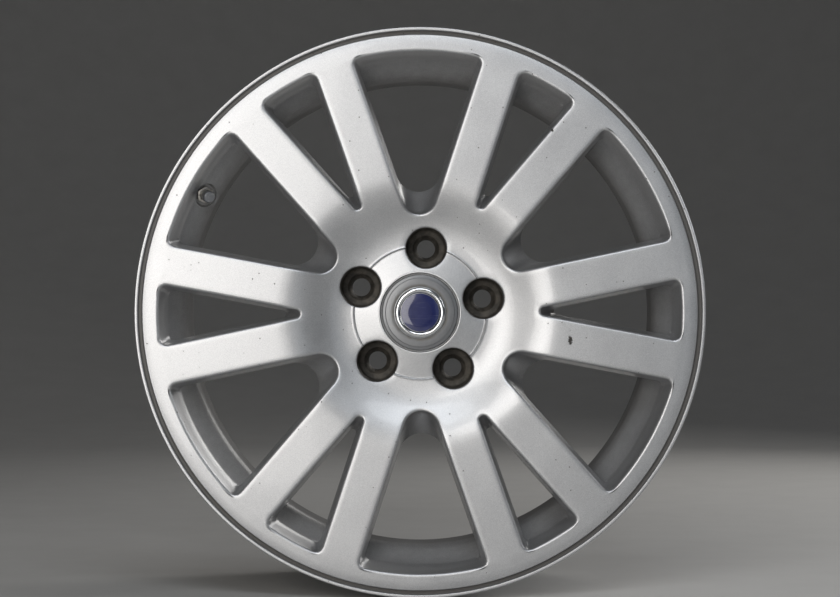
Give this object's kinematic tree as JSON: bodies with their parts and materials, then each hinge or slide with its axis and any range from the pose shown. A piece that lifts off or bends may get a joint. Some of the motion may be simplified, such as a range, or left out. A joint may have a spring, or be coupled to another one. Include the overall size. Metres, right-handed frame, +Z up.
{
  "type": "wheel rim",
  "caption": "Passenger-car alloy wheel rim with paired straight spokes, lug bolt holes, a snap-in centre cap and a tubeless valve with screw cap.",
  "frame": {"origin": "centre of the wheel: on its axis, midway between the outer faces of the two flanges", "axes": "+Y along the wheel's axis, pointing inboard to the brake side; the styled face looks along -Y; +Z up, with one pair of spokes pointing along +X"},
  "size_m": [0.4716, 0.215, 0.4716],
  "materials": {
    "silver_paint": "cast aluminium, painted: metallic silver base coat under clear lacquer, slight orange peel, fine chips",
    "cap_paint": "satin grey paint on moulded plastic",
    "emblem_chrome": "bright chrome",
    "emblem_enamel": "plain dark blue enamel, no lettering",
    "spring_steel": "drawn spring wire",
    "valve_nickel": "satin nickel plate",
    "valve_brass": "machined brass",
    "valve_cap_alloy": "anodised, knurled",
    "rubber": "black moulded rubber"
  },
  "bodies": {
    "wheel": {"rim_outer_flange": "silver_paint", "rim_front_barrel": "silver_paint", "rim_rear_barrel": "silver_paint", "rim_inner_flange": "silver_paint", "hub": "silver_paint", "spoke_01": "silver_paint", "spoke_02": "silver_paint", "spoke_03": "silver_paint", "spoke_04": "silver_paint", "spoke_05": "silver_paint", "spoke_06": "silver_paint", "spoke_07": "silver_paint", "spoke_08": "silver_paint", "spoke_09": "silver_paint", "spoke_10": "silver_paint", "spoke_11": "silver_paint", "spoke_12": "silver_paint", "valve_stem": "valve_nickel", "valve_grommet": "rubber", "valve_nut": "valve_nickel", "valve_core_barrel": "valve_brass", "valve_core_spring": "spring_steel"},
    "centre_cap": {"cap_shell": "cap_paint", "cap_spring_ring": "spring_steel", "emblem_plate": "cap_paint", "emblem_ring": "emblem_chrome", "emblem_disc": "emblem_enamel"},
    "cap_washer": {"valve_cap_seal": "rubber"},
    "dust_cap": {"valve_cap": "valve_cap_alloy"},
    "core_pin": {"valve_core_pin": "valve_brass", "valve_core_seal": "rubber"}
  },
  "joints": [
    {"name": "centre_cap_pull", "type": "slide", "parent": "wheel", "child": "centre_cap", "axis": [0, -1, 0], "range_m": [0, 0.03], "deforming": ["cap_spring_ring"]},
    {"name": "valve_cap_lift", "type": "slide", "parent": "wheel", "child": "cap_washer", "axis": [0.3707, -0.9063, -0.203], "range_m": [0, 0.00635]},
    {"name": "valve_cap_unscrew", "type": "hinge", "parent": "cap_washer", "child": "dust_cap", "pos_m": [-0.18204, -0.06369, 0.09966], "axis": [0.3707, -0.9063, -0.203], "range_deg": [0, 2880]},
    {"name": "core_pin_press", "type": "slide", "parent": "wheel", "child": "core_pin", "axis": [-0.3707, 0.9063, 0.203], "range_m": [0, 0.0012], "stiffness_N_per_m": 300, "springref_m": -0.001, "deforming": ["valve_core_spring"]}
  ],
  "couplings": [
    {"joint": "valve_cap_unscrew", "follows": "valve_cap_lift", "rad_per_m": 7913.4}
  ]
}
